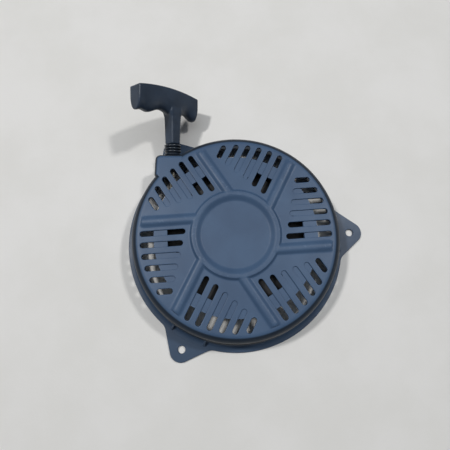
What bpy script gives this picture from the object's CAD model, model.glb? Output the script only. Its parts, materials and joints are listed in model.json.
# %% [markdown]
# # The looks of a recoil starter
# This lesson dresses the starter of a small engine: a vented cover moulded in slate-blue plastic, a black
# rope reel seen through its slots, a braided rope and a T-grip. The frame holds every solid part in its
# place, so each piece made here is drawn in the frame's own coordinates and rides on one of its bodies.

# %% Load the frame
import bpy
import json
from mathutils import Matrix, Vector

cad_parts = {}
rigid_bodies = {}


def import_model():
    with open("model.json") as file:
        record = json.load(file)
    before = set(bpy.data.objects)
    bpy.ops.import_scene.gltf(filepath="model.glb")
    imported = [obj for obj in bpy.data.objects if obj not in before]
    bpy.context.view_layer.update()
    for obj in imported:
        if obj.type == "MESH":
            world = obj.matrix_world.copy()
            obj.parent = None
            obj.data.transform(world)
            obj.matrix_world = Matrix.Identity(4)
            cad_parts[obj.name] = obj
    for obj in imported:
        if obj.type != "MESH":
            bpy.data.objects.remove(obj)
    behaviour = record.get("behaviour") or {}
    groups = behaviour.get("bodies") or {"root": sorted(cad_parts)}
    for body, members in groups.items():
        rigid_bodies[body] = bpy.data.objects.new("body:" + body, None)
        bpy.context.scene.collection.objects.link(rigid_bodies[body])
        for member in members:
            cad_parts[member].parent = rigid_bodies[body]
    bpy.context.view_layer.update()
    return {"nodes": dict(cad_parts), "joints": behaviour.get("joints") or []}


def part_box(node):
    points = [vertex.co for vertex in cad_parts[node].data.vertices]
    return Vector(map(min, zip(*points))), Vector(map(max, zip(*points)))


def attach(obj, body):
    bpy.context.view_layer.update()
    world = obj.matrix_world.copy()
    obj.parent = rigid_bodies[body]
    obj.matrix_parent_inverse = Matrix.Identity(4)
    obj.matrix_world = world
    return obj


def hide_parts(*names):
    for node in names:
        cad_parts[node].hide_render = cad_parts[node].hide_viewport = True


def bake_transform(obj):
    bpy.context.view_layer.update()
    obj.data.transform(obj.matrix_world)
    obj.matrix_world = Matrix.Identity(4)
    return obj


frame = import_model()

# %% Modules and units
import json
import math

import bmesh
import bpy
from mathutils import Matrix, Vector

MM = 0.001
TAU = 2 * math.pi
nodes = frame["nodes"]
joints = {joint["name"]: joint for joint in frame["joints"]}

# %% [markdown]
# The frame's own record says where the rope bends in the outlet and where it goes from there. The pull
# axis is the direction of the handle's slide, and the grip's joint gives a point on it, so nothing about
# the handle has to be measured again.

# %% Places taken from the frame
PULL = Vector(joints["handle_pull"]["axis"]).normalized()
STEM_FOOT = Vector(joints["grip_twist"]["pos_m"]) / MM
LEVEL = Vector((PULL.x, PULL.y, 0)).normalized()
LEFT = Vector((-LEVEL.y, LEVEL.x, 0))
FLOOR_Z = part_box("cover_housing")[0].z / MM
ROPE_Z = (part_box("rope_coil")[0].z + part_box("rope_coil")[1].z) / 2 / MM
ROPE_R = (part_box("rope_coil")[1].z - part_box("rope_coil")[0].z) / 2 / MM
STEM_START = (STEM_FOOT.z - ROPE_Z) / PULL.z
BEND = STEM_FOOT - STEM_START * PULL
print("the rope bends at", [round(c, 1) for c in BEND])
print("the stem starts", round(STEM_START, 1), "mm on")

# %% [markdown]
# ## Camera, lamps and floor
# The camera comes first, because every later choice is judged through it. It stands almost straight above
# the cover, a little towards the near edge. Two lamps stand on either side, as over a copying table, so
# each thing throws a soft shadow to the left and another to the right.

# %% Camera
scene = bpy.context.scene
scene.view_settings.view_transform = "Standard"
camera = bpy.data.objects.new("camera", bpy.data.cameras.new("camera"))
scene.collection.objects.link(camera)
camera.location = Vector((-12.68, -64.25, 332.44)) * MM
TILT, LEAN, ROLL = math.radians(-12.58), math.radians(0.44), math.radians(3.96)
turned_scene = Matrix.Rotation(ROLL, 3, "Z") @ Matrix.Rotation(LEAN, 3, "Y") @ Matrix.Rotation(TILT, 3, "X")
camera.rotation_euler = turned_scene.transposed().to_euler()
camera.data.sensor_width = 36.0
camera.data.lens = 27.0
camera.data.clip_start = 0.01
scene.camera = camera
print("camera", round(camera.location.z / MM), "mm above the cover's middle")


# %% Lamps
def add_lamp(name, place, size, power, colour):
    """A square lamp at a place in metres that faces the middle of the cover."""
    light = bpy.data.lights.new(name, "AREA")
    light.size = size
    light.energy = power
    light.color = colour
    lamp = bpy.data.objects.new(name, light)
    lamp.location = place
    lamp.rotation_euler = (-Vector(place)).to_track_quat("-Z", "Y").to_euler()
    scene.collection.objects.link(lamp)
    return lamp


add_lamp("lamp_right", (1.19, 0.52, 2.06), 0.20, 16.6, (1.0, 0.99, 0.975))
add_lamp("lamp_left", (-1.02, 0.54, 2.06), 0.20, 23.8, (1.0, 0.99, 0.975))
add_lamp("ceiling", (0.1, 0.4, 2.6), 2.2, 16.0, (0.90, 0.95, 1.0))
world = bpy.data.worlds.new("room")
scene.world = world
world.use_nodes = True
world.node_tree.nodes["Background"].inputs["Color"].default_value = (0.78, 0.82, 0.88, 1.0)
world.node_tree.nodes["Background"].inputs["Strength"].default_value = 0.06
print("two lamps, a ceiling light and a dim room")


# %% [markdown]
# ## A small kit for node materials
# Moulded plastic, steel and rope all need the same few nodes: a coordinate, a noise, a ramp, a mix and a
# bump. These helpers keep each material to a few readable lines. They use object coordinates, which stay
# with the piece when its body moves.

# %% Node helpers
class Finish:
    """A Principled material whose helper nodes are added by short calls."""

    def __init__(self, name, roughness, metallic=0.0, specular=0.5):
        self.mat = bpy.data.materials.new(name)
        self.mat.use_nodes = True
        self.tree = self.mat.node_tree
        self.shader = self.tree.nodes["Principled BSDF"]
        self.shader.inputs["Roughness"].default_value = roughness
        self.shader.inputs["Metallic"].default_value = metallic
        self.shader.inputs["Specular IOR Level"].default_value = specular
        self.place = self.node("ShaderNodeTexCoord").outputs["Object"]

    def node(self, kind, **values):
        made = self.tree.nodes.new(kind)
        for key, value in values.items():
            setattr(made, key, value)
        return made

    def plug(self, value, socket):
        """A value is another node's output, a number or a colour."""
        if isinstance(value, bpy.types.NodeSocket):
            self.tree.links.new(value, socket)
        else:
            socket.default_value = value

    def scaled(self, scale, source=None):
        """Coordinates stretched along each axis."""
        made = self.node("ShaderNodeMapping")
        made.inputs["Scale"].default_value = scale
        self.plug(source or self.place, made.inputs["Vector"])
        return made.outputs["Vector"]

    def noise(self, scale, detail=4.0, rough=0.55, source=None):
        made = self.node("ShaderNodeTexNoise")
        made.inputs["Scale"].default_value = scale
        made.inputs["Detail"].default_value = detail
        made.inputs["Roughness"].default_value = rough
        self.plug(source or self.place, made.inputs["Vector"])
        return made.outputs["Fac"]

    def maths(self, operation, a, b=0.0, clamp=False):
        made = self.node("ShaderNodeMath", operation=operation, use_clamp=clamp)
        self.plug(a, made.inputs[0])
        self.plug(b, made.inputs[1])
        return made.outputs["Value"]

    def between(self, value, low, high):
        """0 below low, 1 above high, smooth in between; low may be the larger."""
        made = self.node("ShaderNodeMapRange", interpolation_type="SMOOTHSTEP")
        self.plug(value, made.inputs["Value"])
        made.inputs["From Min"].default_value = low
        made.inputs["From Max"].default_value = high
        return made.outputs["Result"]

    def mixed(self, share, first, second):
        made = self.node("ShaderNodeMix", data_type="RGBA")
        self.plug(share, made.inputs["Factor"])
        self.plug(first, made.inputs[6])
        self.plug(second, made.inputs[7])
        return made.outputs[2]

    def bump(self, height, distance, strength=1.0):
        made = self.node("ShaderNodeBump")
        made.inputs["Distance"].default_value = distance
        made.inputs["Strength"].default_value = strength
        self.plug(height, made.inputs["Height"])
        if self.shader.inputs["Normal"].is_linked:
            self.plug(self.shader.inputs["Normal"].links[0].from_socket, made.inputs["Normal"])
        self.plug(made.outputs["Normal"], self.shader.inputs["Normal"])

    def colour(self, value):
        self.plug(value, self.shader.inputs["Base Color"])

    def roughness(self, value):
        self.plug(value, self.shader.inputs["Roughness"])


def rgb(red, green, blue):
    """A colour given as on a screen, turned into the linear one that a shader wants."""
    linear = [((c / 255 + 0.055) / 1.055) ** 2.4 if c > 10 else c / 255 / 12.92 for c in (red, green, blue)]
    return (*linear, 1.0)


print("node helpers ready")

# %% [markdown]
# The table is pale card with a faint mottle. It is a stage piece: it carries the shadows and does not
# belong to the starter.

# %% Floor
card = Finish("pale_card", 0.85)
mottle = card.noise(9.0, 5.0)
fibre = card.noise(420.0, 3.0)
card.colour(card.mixed(card.between(mottle, 0.35, 0.65), rgb(229, 228, 225), rgb(234, 233, 231)))
card.bump(fibre, 0.0002, 0.35)
floor_mesh = bpy.data.meshes.new("floor")
bm = bmesh.new()
bmesh.ops.create_grid(bm, x_segments=2, y_segments=2, size=3.0)
bm.to_mesh(floor_mesh)
bm.free()
floor = bpy.data.objects.new("floor", floor_mesh)
floor.location.z = FLOOR_Z * MM
floor_mesh.materials.append(card.mat)
scene.collection.objects.link(floor)
print("floor at", round(FLOOR_Z, 1), "mm")

# %% [markdown]
# ## Mesh tools
# Pieces are drawn in millimetres and turned into objects in metres at the end. A spin makes what is round,
# a stack of rings makes what is lofted, and the fast Manifold Boolean joins and cuts closed meshes.

# %% Outlines
def polar(radius, degrees, z=0.0):
    a = math.radians(degrees)
    return Vector((radius * math.cos(a), radius * math.sin(a), z))


def arc(centre, radius, start, end, steps):
    """Points on an arc, in degrees, with both ends."""
    points = []
    for k in range(steps + 1):
        a = math.radians(start + (end - start) * k / steps)
        points.append((centre[0] + radius * math.cos(a), centre[1] + radius * math.sin(a)))
    return points


def capsule(x0, x1, y, half, steps):
    """A slot's outline along X, with round ends."""
    return arc((x1, y), half, -90, 90, steps) + arc((x0, y), half, 90, 270, steps)


def smooth(t):
    t = min(max(t, 0.0), 1.0)
    return t * t * (3 - 2 * t)


print("a capsule of 6 steps an end has", len(capsule(0, 10, 0, 2, 6)), "points")


# %% Meshes
def spun(profile, steps):
    """Spins a closed outline of (radius, height) points about Z."""
    bm = bmesh.new()
    verts = [bm.verts.new((r, 0.0, z)) for r, z in profile]
    edges = [bm.edges.new((a, b)) for a, b in zip(verts, verts[1:] + verts[:1]) if max(a.co.x, b.co.x) > 0]
    outline = verts + edges
    bmesh.ops.spin(bm, geom=outline, cent=(0, 0, 0), axis=(0, 0, 1), angle=TAU, steps=steps, use_merge=True)
    bmesh.ops.remove_doubles(bm, verts=bm.verts, dist=1e-4)
    return bm


def add_loft(bm, rings):
    """Skins rings of equal point counts and closes both ends."""
    loops = [[bm.verts.new(p) for p in ring] for ring in rings]
    for low, high in zip(loops, loops[1:]):
        for k in range(len(low)):
            n = (k + 1) % len(low)
            bm.faces.new((low[k], low[n], high[n], high[k]))
    bm.faces.new(loops[0][::-1])
    bm.faces.new(loops[-1])


def lofted(rings):
    bm = bmesh.new()
    add_loft(bm, rings)
    return bm


def rod(radius, start, end, sides=32):
    start, end = Vector(start), Vector(end)
    turn = (end - start).to_track_quat("Z", "Y").to_matrix().to_4x4()
    bm = bmesh.new()
    bmesh.ops.create_cone(bm, cap_ends=True, segments=sides, radius1=radius, radius2=radius,
                          depth=(end - start).length, matrix=Matrix.Translation((start + end) / 2) @ turn)
    return bm


def thing(name, bm, mat=None, place=None):
    """A smooth-shaded object from a mesh drawn in millimetres."""
    if place is not None:
        bmesh.ops.transform(bm, matrix=place, verts=bm.verts)
    bmesh.ops.scale(bm, vec=(MM, MM, MM), verts=bm.verts)
    bmesh.ops.recalc_face_normals(bm, faces=bm.faces)
    mesh = bpy.data.meshes.new(name)
    bm.to_mesh(mesh)
    bm.free()
    made = bpy.data.objects.new(name, mesh)
    scene.collection.objects.link(made)
    if mat is not None:
        mesh.materials.append(mat)
    return made


def carve(piece, operation, bm, place=None, solver="MANIFOLD"):
    """Adds a shape to the piece or cuts it away, and keeps the result as its mesh."""
    tool = thing("tool", bm, place=place)
    step = piece.modifiers.new("join", "BOOLEAN")
    step.operation = operation
    step.solver = solver
    step.object = tool
    settle(piece)
    bpy.data.objects.remove(tool, do_unlink=True)


def settle(piece):
    """Keeps what the modifiers made as the mesh."""
    evaluated = piece.evaluated_get(bpy.context.evaluated_depsgraph_get())
    mesh = bpy.data.meshes.new_from_object(evaluated)
    piece.modifiers.clear()
    piece.data = mesh


def soften(piece, angle=30):
    """Smooth shading that keeps flats flat and breaks only at sharp edges."""
    piece.data.shade_smooth()
    piece.data.set_sharp_from_angle(angle=math.radians(angle))
    step = piece.modifiers.new("even_normals", "WEIGHTED_NORMAL")
    step.keep_sharp = True
    settle(piece)


print("mesh tools ready")

# %% [markdown]
# ## The vented cover
# The real cover is one injection moulding. Its face carries a shallow round plate, a raised ring and six
# beads that run out between the slots. Moulded plastic flows through soft transitions, so the face here is
# a fine spun grid whose points are lifted by a formula, and the ring and the beads melt into each other.

# %% Sizes of the cover
FACE = 1.0
PLATE = 2.5
SHELF = -0.2
FLOOR = -4.5
WALL_R, SHOULDER_R, WALL_FOOT = 106.2, 9.5, -25.5
FLANGE_R, FLANGE_TOP = 118.3, -38.5
BASE = FLOOR_Z
DRUM_R, DRUM_WALL, DRUM_FOOT = 82.5, 3.0, -26.5
DISC_R, RING_IN, RING_OUT, BEAD = 33.5, 39.8, 45.6, 2.5
POST_R, POST_FOOT = 9.0, -33.1
SECTORS = 6
BEAD_OFFSET, BEAD_END, BEAD_HALF = -18.5, 91.3, 6.0
print("the face is", 2 * WALL_R, "mm across and the flange", 2 * FLANGE_R)


# %% Relief of the face
def ring_height(r):
    """The ring's soft crest, and the slope down to the round plate inside it."""
    if r < 42.5:
        return (FACE + BEAD) * smooth((r - DISC_R) / (RING_IN + 1.4 - DISC_R))
    return FACE + BEAD * (1 - smooth((r - 43.6) / (RING_OUT + 1.0 - 43.6)))


def bead_height(x, y):
    """Six beads, each a round-ended ridge beside its sector of slots."""
    best = 0.0
    for sector in range(SECTORS):
        a = TAU * sector / SECTORS
        along = x * math.cos(a) + y * math.sin(a)
        across = y * math.cos(a) - x * math.sin(a) - BEAD_OFFSET
        if abs(across) > BEAD_HALF or along < 30:
            continue
        over = max(along - BEAD_END, 0.0)
        off = math.hypot(over, across) / BEAD_HALF
        if off < 1:
            best = max(best, BEAD * (1 - off**3) ** 2)
    return best


def face_height(x, y):
    """The face, the ring and the beads, with a small fillet where a bead meets the ring."""
    r = math.hypot(x, y)
    ring = ring_height(r)
    bead = FACE + bead_height(x, y) if r > 41 else 0.0
    blend = max(min(0.8, ring - FACE, bead - FACE), 1e-6)
    gap = max(blend - abs(ring - bead), 0.0) / blend
    return max(ring, bead) + gap * gap * blend / 4


print("crest", face_height(42.5, 0), "mm, face", round(face_height(60, 8), 2), "mm")


# %% The spun body
def cover_profile():
    centre = WALL_R - SHOULDER_R
    inner = WALL_R - PLATE
    face = [(0, 0), (DISC_R - 0.6, 0)]
    face += [(DISC_R + 0.7 * k, 0) for k in range(1, 20)]
    face += [(46.8 + (centre - 47.8) * k / 48, FACE) for k in range(49)]
    outside = arc((centre, FACE - SHOULDER_R), SHOULDER_R, 90, 2, 18)
    outside += [(WALL_R + 0.9, WALL_FOOT + 0.6), (WALL_R + 1.3, WALL_FOOT - 0.2)]
    outside += [(WALL_R + 2.7, WALL_FOOT - 0.9), (WALL_R + 3.3, WALL_FOOT - 1.8)]
    outside += [(WALL_R + 4.1, FLANGE_TOP + 5), (WALL_R + 4.8, FLANGE_TOP + 2.5)]
    outside += [(WALL_R + 6.2, FLANGE_TOP + 0.8), (WALL_R + 8.2, FLANGE_TOP)]
    outside += [(FLANGE_R - 0.5, FLANGE_TOP), (FLANGE_R, FLANGE_TOP - 0.5), (FLANGE_R, BASE + 0.4)]
    inside = [(WALL_R + 5.8, BASE + 0.4), (WALL_R + 1.8, FLANGE_TOP + 4.5)]
    inside += [(WALL_R + 1.0, WALL_FOOT - 3.0), (WALL_R - 1.6, WALL_FOOT - 1.5)]
    inside += arc((centre, FACE - SHOULDER_R), inner - centre, 0, 90, 8)
    inside += [(DRUM_R, FACE - PLATE), (DRUM_R, DRUM_FOOT), (DRUM_R - DRUM_WALL, DRUM_FOOT)]
    inside += [(DRUM_R - DRUM_WALL, FLOOR), (RING_OUT, FLOOR), (RING_IN, -3.0), (POST_R + 3.0, -3.0)]
    inside += [(POST_R, -6.0), (POST_R, POST_FOOT), (5.3, POST_FOOT), (5.3, -13.0), (0, -13.0)]
    return face + outside + inside


body = spun(cover_profile(), 432)
for vert in body.verts:
    r = math.hypot(vert.co.x, vert.co.y)
    if DISC_R - 0.7 < r < WALL_R - SHOULDER_R - 0.2 and -0.01 < vert.co.z:
        vert.co.z = face_height(vert.co.x, vert.co.y)
cover = thing("cover", body)
print("body:", len(cover.data.polygons), "faces")

# %% [markdown]
# Three ears carry the bolts. Each is a round nose with straight flanks that run into the flange by
# fillets, and a thin web stands on either side of it. The rope leaves through a corner that is built out
# from the wall and rounded like the shoulder, with a short tapered socket on the pull axis.

# %% Ears and webs
EAR_HOLE_R, EAR_HOLE, NOSE_AT, NOSE_R, EAR_FLANK, EAR_FILLET = 128.3, 4.0, 129.7, 11.7, 39.5, 12.0


def ear_outline(shrink=0.0):
    normal = 90 - EAR_FLANK
    nose = arc((NOSE_AT, 0), NOSE_R - shrink, 0, normal, 14)
    reach = NOSE_AT * math.cos(math.radians(normal)) + NOSE_R
    around = FLANGE_R + EAR_FILLET
    turn = normal - math.degrees(math.acos((reach + EAR_FILLET) / around))
    fillet = arc(polar(around, turn).xy, EAR_FILLET + shrink, normal + 180, turn + 180, 8)
    half = nose + fillet + [tuple(polar(FLANGE_R - 4, turn).xy)]
    return half + [(x, -y) for x, y in half[:0:-1]]


ears = bmesh.new()
webs = bmesh.new()
side = [(WALL_R - 1, WALL_FOOT - 3), (WALL_R + 2.6, WALL_FOOT - 3), (FLANGE_R - 1.5, FLANGE_TOP + 1)]
side += [(FLANGE_R - 1.5, FLANGE_TOP - 1), (WALL_R - 1, FLANGE_TOP - 1)]
for ear in range(3):
    turn = Matrix.Rotation(TAU * ear / 3, 4, "Z")
    levels = ((0.3, BASE), (0.0, BASE + 0.3), (0.0, FLANGE_TOP - 0.7), (0.45, FLANGE_TOP - 0.2))
    add_loft(ears, [[turn @ Vector((x, y, z)) for x, y in ear_outline(s)] for s, z in levels])
    for lean in (-9.5, 9.5):
        aside = turn @ Matrix.Rotation(math.radians(lean), 4, "Z")
        add_loft(webs, [[aside @ Vector((r, y, z)) for r, z in side] for y in (-1.0, 1.0)])
carve(cover, "UNION", ears)
carve(cover, "UNION", webs)
print("with ears:", len(cover.data.polygons), "faces")

# %% Outlet corner
BOSS_END, BOSS_SIDE, BOSS_EDGE = 85.7, 86.0, 5.0
boss_place = Matrix((LEVEL, LEFT, Vector((0, 0, 1)))).transposed().to_4x4()
up = PULL.cross(LEFT)
pull_place = Matrix.Translation(BEND) @ Matrix((LEFT, up, PULL)).transposed().to_4x4()


def boss_outline(inset):
    corner = arc((BOSS_END - 5.5, BOSS_SIDE - 5.5), 5.5 - inset * 0.6, 0, 90, 8)
    corner = [(x - inset * 0.4, y - inset * 0.4) for x, y in corner]
    return [(72, 60), (BOSS_END - inset, 57)] + corner + [(63, BOSS_SIDE - inset), (58, 78)]


rings = [[Vector((*p, BASE + 0.8)) for p in boss_outline(0)]]
for out, rise in arc((0, 0), BOSS_EDGE, 0, 90, 9):
    rings.append([Vector((*p, FACE - BOSS_EDGE + rise)) for p in boss_outline(BOSS_EDGE - out)])
carve(cover, "UNION", lofted(rings), boss_place)
cavity = [(66, 58), (BOSS_END - 6, 58), (BOSS_END - 6, 78.5), (BOSS_END - 9.5, BOSS_SIDE - 2.8)]
cavity += [(64.5, BOSS_SIDE - 2.8), (56, 76)]
hollow = lofted([[Vector((*p, z)) for p in cavity] for z in (BASE - 3, -2.0)])
carve(cover, "DIFFERENCE", hollow, boss_place)
socket = [(0, -1.0), (11.8, -1.0), (12.0, 3.5), (11.6, 5.2), (10.9, 8.6), (10.3, 9.2), (0, 9.2)]
carve(cover, "UNION", spun(socket, 64), pull_place)
print("with the outlet corner:", len(cover.data.polygons), "faces")

# %% [markdown]
# The slots are the cover's character. Each one is open at its outer end, where the air comes in, and
# blind over the drum, where only a shallow recess is left. The first two of each sector also open inwards
# on to the reel. Every slot's rim is rounded by a cutter that flares near the face.

# %% Slots
SLOT_HALF, SLOT_FIRST, SLOT_PITCH, SLOT_IN, SLOT_IN_STEP, SLOT_END_R = 2.75, -6.3, 11.63, 52.9, 2.97, 93.6
WINDOW_OUT = 68.7
RIM = 0.45


def slot_rows():
    for row in range(6):
        y = SLOT_FIRST + SLOT_PITCH * row
        yield SLOT_IN + SLOT_IN_STEP * row, math.sqrt(SLOT_END_R**2 - y**2), y


recesses = bmesh.new()
ways = bmesh.new()
windows = bmesh.new()
for sector in range(SECTORS):
    turn = Matrix.Rotation(TAU * sector / SECTORS, 4, "Z")
    for start, end, y in slot_rows():
        levels = [(SLOT_HALF, SHELF)]
        levels += [(SLOT_HALF + RIM - out, FACE - RIM + rise) for out, rise in arc((0, 0), RIM, 0, 90, 4)]
        levels += [(SLOT_HALF + RIM, FACE + 6)]
        rings = [[turn @ Vector((*p, z)) for p in capsule(start, end, y, half, 10)] for half, z in levels]
        add_loft(recesses, rings)
        inner = [(math.sqrt(DRUM_R**2 - (y + d) ** 2), y + d) for d in (SLOT_HALF, 0.9, -0.9, -SLOT_HALF)]
        outline = arc((end, y), SLOT_HALF, -90, 90, 10) + inner
        add_loft(ways, [[turn @ Vector((*p, z)) for p in outline] for z in (FLOOR - 1, SHELF + 0.1)])
    corners = [(49.0, -10.0), (WINDOW_OUT, -10.0), (WINDOW_OUT, 9.5), (60.0, 14.8), (52.0, 14.8)]
    add_loft(windows, [[turn @ Vector((*p, z)) for p in corners] for z in (FLOOR - 3, SHELF + 0.1)])
carve(cover, "DIFFERENCE", recesses)
carve(cover, "DIFFERENCE", ways)
carve(cover, "DIFFERENCE", windows)
print("with slots:", len(cover.data.polygons), "faces")

# %% [markdown]
# The side wall has a window beside each sector of slots and a post under each bead. Their outline is a
# guess. A mould could make them with slides that come in from the sides. Here six curved blocks cut them,
# shorter next to the outlet corner. Light that falls through the slots leaves by them again.

# %% Windows in the side wall
SIDES = ((-6, 36), (54, 96), (143, 156), (174, 216), (234, 276), (294, 336))  # degrees
SIDE_TOP, SIDE_FOOT = -10.0, -24.8
sides = bmesh.new()
for start, end in SIDES:
    span = arc((0, 0), WALL_R + 5, start, end, 40) + arc((0, 0), WALL_R - 5, end, start, 40)
    add_loft(sides, [[Vector((*p, z)) for p in span] for z in (SIDE_FOOT, SIDE_TOP)])
carve(cover, "DIFFERENCE", sides)
print(len(SIDES), "windows,", round(SIDE_TOP - SIDE_FOOT, 1), "mm high")

# %% Holes
for ear in range(3):
    spot = polar(EAR_HOLE_R, 120 * ear)
    hole = [(0, BASE - 2), (EAR_HOLE, BASE - 2), (EAR_HOLE, FLANGE_TOP - 0.6)]
    hole += [(EAR_HOLE + 0.4, FLANGE_TOP - 0.15), (EAR_HOLE + 0.4, FLANGE_TOP + 2), (0, FLANGE_TOP + 2)]
    carve(cover, "DIFFERENCE", spun(hole, 48), Matrix.Translation((spot.x, spot.y, 0)))
TANGENT = BEND - BEND.dot(LEVEL) * LEVEL
TANGENT.z = ROPE_Z
carve(cover, "DIFFERENCE", rod(5.0, TANGENT + 28 * LEVEL, TANGENT + 60 * LEVEL))
carve(cover, "DIFFERENCE", rod(6.1, BEND - 8 * PULL, BEND + 12 * PULL, 48))
soften(cover, 32)
print("the finished cover has", len(cover.data.polygons), "faces")

# %% [markdown]
# The plastic is a satin slate blue. Up close it has a fine grain like that of a spark-eroded mould, a slow
# clouding in its colour and gloss, and pale rub marks on the beads and the ring, which stand highest. The
# shoulder and side wall are toned darker, which is a guess: from above, shade and grime look alike there.
# Distance to the axis and height tell these marks where to be.

# %% Slate plastic
slate = Finish("slate_plastic", 0.42, specular=0.3)
split = slate.node("ShaderNodeSeparateXYZ")
slate.plug(slate.place, split.inputs["Vector"])
flat = slate.scaled((1.0, 1.0, 0.0))
reach = slate.node("ShaderNodeVectorMath", operation="LENGTH")
slate.plug(flat, reach.inputs[0])
radius = reach.outputs["Value"]
height = split.outputs["Z"]
cloud = slate.noise(22.0, 5.0)
tone = slate.mixed(slate.between(cloud, 0.3, 0.7), rgb(64, 86, 115), rgb(71, 95, 125))
grain = slate.noise(1900.0, 3.0, 0.6)
tone = slate.mixed(slate.maths("MULTIPLY", slate.between(grain, 0.5, 0.75), 0.25), tone, rgb(84, 104, 130))
rub = slate.noise(260.0, 6.0, 0.75)
crest = slate.between(height, 2.6 * MM, 3.6 * MM)
rub = slate.maths("MULTIPLY", slate.between(rub, 0.56, 0.70), crest)
tone = slate.mixed(slate.maths("MULTIPLY", rub, 0.35), tone, rgb(128, 150, 178))
deep = slate.between(height, -0.004, -0.020)
tone = slate.mixed(slate.maths("MULTIPLY", deep, 0.45), tone, rgb(44, 54, 66))
near_edge = slate.between(radius, 98.5 * MM, 99.5 * MM)
below_face = slate.between(height, 0.7 * MM, 0.0)
above_crease = slate.between(height, -28.5 * MM, -26.5 * MM)
wall = slate.maths("MULTIPLY", slate.maths("MULTIPLY", near_edge, below_face), above_crease)
tone = slate.mixed(slate.maths("MULTIPLY", wall, 0.85), tone, rgb(24, 28, 32))
slate.colour(tone)
smudge = slate.noise(38.0, 6.0, 0.65)
gloss = slate.node("ShaderNodeMapRange")
slate.plug(smudge, gloss.inputs["Value"])
gloss.inputs["From Min"].default_value = 0.3
gloss.inputs["From Max"].default_value = 0.7
gloss.inputs["To Min"].default_value = 0.36
gloss.inputs["To Max"].default_value = 0.50
slate.roughness(gloss.outputs["Result"])
slate.bump(grain, 0.00004, 0.5)
slate.bump(slate.noise(95.0, 3.0), 0.0003, 0.22)
cover.data.materials.clear()
cover.data.materials.append(slate.mat)
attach(cover, "housing")
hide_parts("cover_housing")
print("slate plastic on the cover")

# %% [markdown]
# ## The T-grip
# The handle is a bar across a square stem. Its top is a shallow arch, its sides are upright, and its
# underside is round with hollows for the fingers. Bar and stem are one moulding with soft inner corners,
# so they are joined, rebuilt on a fine even grid and relaxed, which rounds every edge a little.

# %% Sizes of the grip
TWIST = 48.2
TOP_AT, LONG_ARM, SHORT_ARM, HALF_THICK, LOW_AT = 80.1, 47.8, 30.3, 8.7, 51.9
ARCH_AT, ARCH_DROP = 8.0, 4.2
HOLLOWS = ((41.0, 6.5, 1.3), (17.5, 17.5, 5.2), (-15.5, 12.5, 5.4))
grip_place = pull_place @ Matrix.Rotation(math.radians(TWIST), 4, "Z")


def underside(p):
    """The level line under the bar, hollowed where fingers lie; each hollow has centre, reach and depth."""
    lift = sum(d * math.cos(math.pi / 2 * (p - c) / w) ** 2 for c, w, d in HOLLOWS if abs(p - c) < w)
    return LOW_AT + lift


def bar_section(p, inset):
    top = TOP_AT - ARCH_DROP * ((p - ARCH_AT) / (LONG_ARM - ARCH_AT)) ** 2 - inset
    low = underside(p) + inset
    half = HALF_THICK - inset
    bend = low + 0.62 * (top - low)
    points = arc((half - 0.8, top - 0.8), 0.8, 90, 0, 3)
    for q, s in arc((0, 0), 1.0, 0, -180, 30)[1:-1]:
        points.append((math.copysign(abs(q) ** 0.8, q) * half, bend + s * (bend - low)))
    points += arc((0.8 - half, top - 0.8), 0.8, 180, 90, 3)
    return [Vector((p, q, s)) for q, s in points]


print("the bar is", LONG_ARM + SHORT_ARM, "mm long")
print("it is", round(TOP_AT - underside(17.5), 1), "mm high at a finger")

# %% Bar and stem
EDGE = 0.9
stations = [(-SHORT_ARM, EDGE), (-SHORT_ARM + 0.3, 0.35), (-SHORT_ARM + EDGE, 0.0)]
span = LONG_ARM + SHORT_ARM - 2 * EDGE
stations += [(-SHORT_ARM + EDGE + span * k / 60, 0.0) for k in range(1, 61)]
stations += [(LONG_ARM - 0.3, 0.35), (LONG_ARM, EDGE)]
grip = thing("grip_moulding", lofted([bar_section(p, inset) for p, inset in stations]), place=grip_place)
rings = []
for s, a, b in ((STEM_START, 5.5, 6.2), (STEM_START + 0.5, 6.0, 6.7), (47.0, 6.5, 7.2), (52.5, 6.8, 7.5),
                (57.5, 8.2, 8.0), (64.0, 8.2, 8.0)):
    outline = []
    for x, y, turn in ((1, 1, 0), (-1, 1, 90), (-1, -1, 180), (1, -1, 270)):
        outline += arc((x * (a - 2.2), y * (b - 2.2)), 2.2, turn, turn + 90, 6)
    rings.append([Vector((x, y, s)) for x, y in outline])
carve(grip, "UNION", lofted(rings), grip_place)
grid = grip.modifiers.new("even_grid", "REMESH")
grid.mode = "VOXEL"
grid.voxel_size = 0.45 * MM
relax = grip.modifiers.new("relax", "SMOOTH")
relax.factor = 0.5
relax.iterations = 5
settle(grip)
carve(grip, "DIFFERENCE", rod(3.0, (0, 0, 10), (0, 0, 70)), grip_place)
carve(grip, "DIFFERENCE", rod(6.5, (0, 0, 64.0), (0, 0, 90), 48), grip_place)
soften(grip, 50)
cap = [(0, 76.9), (6.2, 76.9), (6.2, 79.3), (5.9, 79.7), (5.4, 79.8), (2.2, 79.8), (1.6, 79.4), (0, 79.4)]
grip_cap = thing("grip_end_cap", spun(cap, 64), place=grip_place)
soften(grip_cap, 40)
print("grip:", len(grip.data.polygons), "faces")

# %% [markdown]
# The handle is a darker, smoother plastic than the cover: a blue-black with a slight sheen that shows on
# its long edges. Its gloss varies slowly all over, as on plastic that hands have rubbed.

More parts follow.
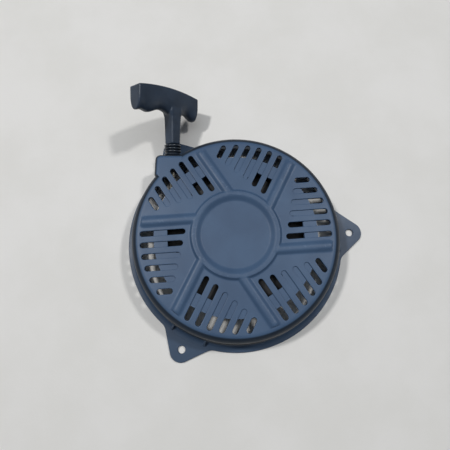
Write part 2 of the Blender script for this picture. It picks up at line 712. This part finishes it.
# %% Grip plastic
navy = Finish("grip_plastic", 0.38, specular=0.5)
drift = navy.noise(60.0, 4.0)
tone = navy.mixed(navy.between(drift, 0.3, 0.7), rgb(46, 57, 72), rgb(55, 68, 86))
speck = navy.noise(2600.0, 2.0)
navy.colour(navy.mixed(navy.maths("MULTIPLY", navy.between(speck, 0.55, 0.8), 0.2), tone, rgb(66, 78, 92)))
wear = navy.node("ShaderNodeMapRange")
navy.plug(navy.noise(75.0, 6.0, 0.7), wear.inputs["Value"])
wear.inputs["From Min"].default_value = 0.3
wear.inputs["From Max"].default_value = 0.7
wear.inputs["To Min"].default_value = 0.30
wear.inputs["To Max"].default_value = 0.44
navy.roughness(wear.outputs["Result"])
navy.bump(speck, 0.00004, 0.4)
grip.data.materials.clear()
grip.data.materials.append(navy.mat)
grip_cap.data.materials.append(navy.mat)
for piece, node in ((grip, "grip"), (grip_cap, "grip_cap")):
    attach(piece, "grip")
    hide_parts(node)
print("grip plastic on the handle")

# %% [markdown]
# ## Outlet guide and bumper
# A pressed, flared guide keeps the rope off the plastic, and a ribbed rubber bumper takes the knock when
# the grip snaps home. Both are round about the pull axis, so both are spun.

# %% Guide and bumper
lips = [(3.9, 0.4), (5.8, 0.4), (5.8, 9.5), (8.4, 9.5), (8.6, 9.8), (8.6, 10.4), (8.3, 10.7), (5.2, 10.7)]
lips += arc((4.4, 9.7), 1.0, 90, 180, 6) + [(3.4, 2.0)]
guide = thing("rope_guide", spun(lips, 96), place=pull_place)
soften(guide, 40)
rubber_profile = [(9.1, 11.0), (9.4, 11.3), (9.4, 12.0), (8.9, 12.3), (7.8, 12.6), (7.8, 13.2)]
for ring in range(3):
    middle = 15.2 + 3.0 * ring
    reach_out = 9.35 - 0.1 * ring
    rubber_profile += arc((reach_out - 1.1, middle), 1.1, -80, 80, 10)
    rubber_profile.append((reach_out - 1.9, middle + 1.5))
rubber_profile += [(7.4, STEM_START - 0.3), (3.2, STEM_START - 0.3), (3.2, 11.0)]
bumper = thing("ribbed_bumper", spun(rubber_profile, 96), place=pull_place)
soften(bumper, 45)
rubber = Finish("bumper_rubber", 0.28, specular=0.55)
bloom = rubber.between(rubber.noise(180.0), 0.35, 0.7)
rubber.colour(rubber.mixed(bloom, rgb(34, 42, 52), rgb(42, 51, 62)))
rubber.bump(rubber.noise(900.0, 3.0), 0.00005, 0.4)
bumper.data.materials.append(rubber.mat)
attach(bumper, "housing")
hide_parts("outlet_bumper")
print("bumper:", len(bumper.data.polygons), "faces")

# %% [markdown]
# ## Metals
# The starter's steel pieces are zinc plated or phosphated, the spring is blued and the bushing is sintered
# bronze. They share one recipe: a base colour with a cloudy tarnish and a fine grain in the roughness.

# %% Metal finishes
def metal(name, first, second, roughness, grain_scale=700.0):
    made = Finish(name, roughness, metallic=1.0)
    made.colour(made.mixed(made.between(made.noise(130.0, 5.0), 0.35, 0.65), first, second))
    span = made.node("ShaderNodeMapRange")
    made.plug(made.noise(grain_scale, 4.0), span.inputs["Value"])
    span.inputs["To Min"].default_value = roughness - 0.08
    span.inputs["To Max"].default_value = roughness + 0.14
    made.roughness(span.outputs["Result"])
    made.bump(made.noise(grain_scale, 3.0), 0.00003, 0.35)
    return made.mat


zinc = metal("zinc_steel", rgb(196, 198, 196), rgb(168, 170, 172), 0.32)
dark_steel = metal("phosphated_steel", rgb(70, 70, 70), rgb(52, 53, 55), 0.45)
blued = metal("spring_steel", rgb(66, 74, 96), rgb(48, 50, 60), 0.28)
brass = metal("brass", rgb(196, 158, 84), rgb(170, 132, 66), 0.30)
bronze = metal("sintered_bronze", rgb(146, 110, 72), rgb(112, 84, 56), 0.48, 1600.0)
guide.data.materials.append(zinc)
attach(guide, "housing")
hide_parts("outlet_guide")
print("five metals")

# %% [markdown]
# ## The rope
# Starter rope is a round braid of polyester, 5 mm thick. The strands cross in a diamond pattern, which is
# two sets of ridges that wind opposite ways round the pull axis. The rope is one tube from the reel to the
# grip: its inner part stays with the housing and its end goes with the grip, so it draws out as one line.

# %% Braid
def along_pull(finish):
    """Distance along the pull axis and angle round it, for any point, in metres and radians."""
    off = finish.node("ShaderNodeVectorMath", operation="SUBTRACT")
    finish.plug(finish.place, off.inputs[0])
    off.inputs[1].default_value = BEND * MM
    parts = []
    for axis in (PULL, LEFT, up):
        part = finish.node("ShaderNodeVectorMath", operation="DOT_PRODUCT")
        finish.plug(off.outputs["Vector"], part.inputs[0])
        part.inputs[1].default_value = axis
        parts.append(part.outputs["Value"])
    return parts[0], finish.maths("ARCTAN2", parts[1], parts[2])


braid = Finish("braided_rope", 0.8, specular=0.3)
run, angle = along_pull(braid)
pitch = braid.maths("MULTIPLY", run, TAU / 0.0042)
ridges = []
for way in (1, -1):
    phase = braid.maths("ADD", pitch, braid.maths("MULTIPLY", angle, 4.0 * way))
    ridges.append(braid.maths("ABSOLUTE", braid.maths("SINE", phase)))
strand = braid.maths("MAXIMUM", ridges[0], ridges[1])
tone = braid.mixed(braid.between(strand, 0.55, 0.95), rgb(120, 116, 104), rgb(206, 202, 190))
fuzz = braid.noise(3200.0, 3.0, 0.7)
braid.colour(braid.mixed(braid.maths("MULTIPLY", fuzz, 0.3), tone, rgb(150, 146, 132)))
braid.bump(strand, 0.0005, 0.8)
braid.bump(fuzz, 0.0001, 0.5)
print("braid ready")

# %% Rope tube
def tube(path, radius, sides=20):
    """A tube with a ring at each point of the path, square to it."""
    rings = []
    for k, point in enumerate(path):
        ahead = (path[min(k + 1, len(path) - 1)] - path[max(k - 1, 0)]).normalized()
        sideways = ahead.cross(Vector((0, 0, 1))).normalized()
        over = sideways.cross(ahead)
        turn = [TAU * n / sides for n in range(sides)]
        rings.append([point + radius * (math.cos(a) * sideways + math.sin(a) * over) for a in turn])
    return lofted(rings)


path = [TANGENT + LEVEL * (0.2 + (BEND.dot(LEVEL) - 5.2) * k / 20) for k in range(21)]
for k in range(1, 12):
    share = k / 12
    path.append((BEND - 5 * (1 - share) * LEVEL).lerp(BEND + 5 * share * PULL, share))
path += [BEND + PULL * s for s in (5, 8, 11, 14, 17, 20, STEM_START - 1.6, STEM_START - 0.3)]
rope = thing("starter_rope", tube(path, ROPE_R), braid.mat)
soften(rope, 60)
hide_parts("rope_run")
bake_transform(rope)
length = sum((b - a).length for a, b in zip(path, path[1:]))
print("rope tube:", len(path), "rings,", round(length), "mm at rest")

# %% [markdown]
# ## The reel and what rides on it
# Through the slots the reel shows as plain black nylon, which runs quietly on a bronze bushing and doesn't
# wear the rope. It keeps the shape it has in the frame, as the steel parts below it do, and only takes a
# finish: a nearly even black with a fine moulded grain.

# %% Reel
nylon = Finish("reel_nylon", 0.5, specular=0.4)
nylon.colour(nylon.mixed(nylon.between(nylon.noise(50.0), 0.3, 0.7), rgb(17, 17, 18), rgb(24, 24, 25)))
nylon.bump(nylon.noise(1500.0, 3.0), 0.00004, 0.4)
print("black nylon")

# %% Carried-over parts
finishes = {
    "reel": nylon.mat, "reel_bushing": bronze, "post_insert": brass, "recoil_spring": blued,
    "centre_screw": zinc, "screw_washer": zinc, "spring_case": zinc, "spring_cover": zinc,
    "pawl_a": zinc, "pawl_b": zinc, "grip_washer": zinc, "cam_plate": dark_steel,
    "pawl_pin_a": dark_steel, "pawl_pin_b": dark_steel, "pawl_clip_a": dark_steel,
    "pawl_clip_b": dark_steel, "friction_spring": dark_steel, "rope_coil": braid.mat,
    "reel_knot": braid.mat, "grip_rope": braid.mat, "grip_knot": braid.mat,
}
for name, finish in finishes.items():
    for place in nodes[name].material_slots:
        place.material = finish
print("finished", len(finishes), "carried-over parts")
